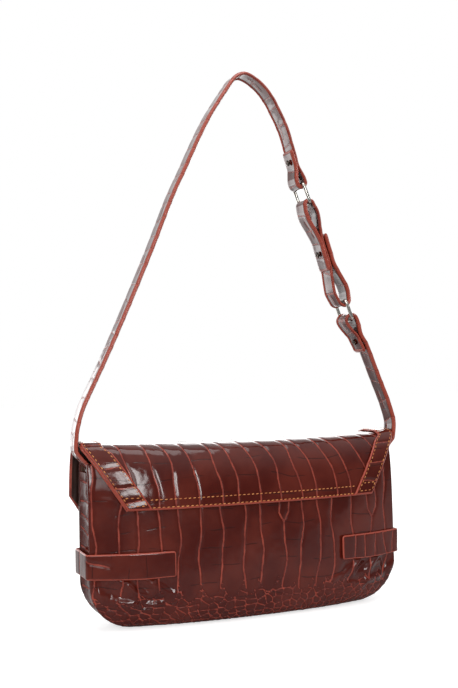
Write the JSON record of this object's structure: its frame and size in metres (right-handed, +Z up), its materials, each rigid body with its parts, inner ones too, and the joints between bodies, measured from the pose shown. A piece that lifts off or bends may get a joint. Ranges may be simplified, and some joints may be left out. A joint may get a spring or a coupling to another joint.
{
  "type": "shoulder bag",
  "caption": "Small flap-over shoulder bag in crocodile-embossed leather, with side belts buckled across the front and a shoulder strap joined by wire rings and a folded link.",
  "frame": {"origin": "centre of the bag's flat bottom, on the surface it stands on", "axes": "+Z up to the top of the strap, +X along the bag's width, +Y out of the back where the flap is sewn on; the flap opens at -Y"},
  "size_m": [0.2597, 0.0776, 0.4077],
  "materials": {
    "back_panel": "glossy, embossed with a crocodile grain",
    "front_panel": "glossy, embossed with a crocodile grain",
    "gusset": "glossy, embossed with a crocodile grain",
    "flap_back": "glossy, embossed with a crocodile grain",
    "flap_front": "glossy, embossed with a crocodile grain",
    "back_trim_left": "glossy, embossed with a crocodile grain",
    "back_trim_right": "glossy, embossed with a crocodile grain",
    "front_trim_left": "glossy, embossed with a crocodile grain",
    "front_trim_right": "glossy, embossed with a crocodile grain",
    "belt_left": "glossy, embossed with a crocodile grain",
    "belt_right": "glossy, embossed with a crocodile grain",
    "belt_keeper": "glossy, embossed with a crocodile grain",
    "strap_long": "glossy, embossed with a crocodile grain",
    "strap_short": "glossy, embossed with a crocodile grain",
    "strap_link": "glossy, embossed with a crocodile grain",
    "strap_root_left": "glossy, embossed with a crocodile grain",
    "strap_root_right": "glossy, embossed with a crocodile grain",
    "lining": "matte microsuede",
    "buckle_frame": "polished nickel plate",
    "buckle_prong": "polished nickel plate",
    "snap_socket": "polished nickel plate",
    "snap_stud": "polished nickel plate",
    "snap_washer": "polished nickel plate",
    "ring_upper": "polished nickel plate",
    "ring_lower": "polished nickel plate",
    "rivet_upper": "polished nickel plate",
    "rivet_middle": "polished nickel plate",
    "rivet_lower": "polished nickel plate",
    "rivet_cap_upper": "polished nickel plate",
    "rivet_cap_middle": "polished nickel plate",
    "rivet_cap_lower": "polished nickel plate"
  },
  "bodies": {
    "bag": {"back_panel": "back_panel", "front_panel": "front_panel", "gusset": "gusset", "flap_back": "flap_back", "back_trim_left": "back_trim_left", "back_trim_right": "back_trim_right", "belt_left": "belt_left", "belt_right": "belt_right", "strap_root_left": "strap_root_left", "strap_root_right": "strap_root_right", "lining": "lining", "buckle_frame": "buckle_frame", "buckle_prong": "buckle_prong", "snap_socket": "snap_socket", "snap_washer": "snap_washer"},
    "flap": {"flap_front": "flap_front", "front_trim_left": "front_trim_left", "front_trim_right": "front_trim_right", "snap_stud": "snap_stud"},
    "strap": {"strap_long": "strap_long", "strap_short": "strap_short", "rivet_upper": "rivet_upper", "rivet_cap_upper": "rivet_cap_upper", "rivet_lower": "rivet_lower", "rivet_cap_lower": "rivet_cap_lower"},
    "ring_upper": {"ring_upper": "ring_upper"},
    "link": {"strap_link": "strap_link", "rivet_middle": "rivet_middle", "rivet_cap_middle": "rivet_cap_middle"},
    "ring_lower": {"ring_lower": "ring_lower"},
    "keeper": {"belt_keeper": "belt_keeper"}
  },
  "joints": [
    {"name": "flap_fold", "type": "hinge", "parent": "bag", "child": "flap", "pos_m": [0, -0.0298, 0.119], "axis": [-1, 0, 0], "range_deg": [0, 160]},
    {"name": "strap_swing", "type": "hinge", "parent": "bag", "child": "strap", "pos_m": [0, 0, 0.127], "axis": [-1, 0, 0], "range_deg": [-15, 90], "deforming": ["strap_root_left", "strap_root_right"]},
    {"name": "upper_ring_turn", "type": "hinge", "parent": "strap", "child": "ring_upper", "pos_m": [-0.05304, 0, 0.32388], "axis": [0, 1, 0], "range_deg": [-8, 8]},
    {"name": "link_turn", "type": "hinge", "parent": "ring_upper", "child": "link", "pos_m": [-0.05868, 0, 0.30912], "axis": [0, 1, 0], "range_deg": [-8, 8]},
    {"name": "lower_ring_turn", "type": "hinge", "parent": "link", "child": "ring_lower", "pos_m": [-0.08761, 0, 0.23338], "axis": [0, 1, 0], "range_deg": [-8, 8]},
    {"name": "keeper_slide", "type": "slide", "parent": "bag", "child": "keeper", "axis": [0.9986, 0.0521, 0], "range_m": [-0.003, 0.005]}
  ],
  "couplings": [
    {"joint": "link_turn", "follows": "upper_ring_turn", "ratio": -1},
    {"joint": "lower_ring_turn", "follows": "upper_ring_turn", "ratio": -1}
  ]
}
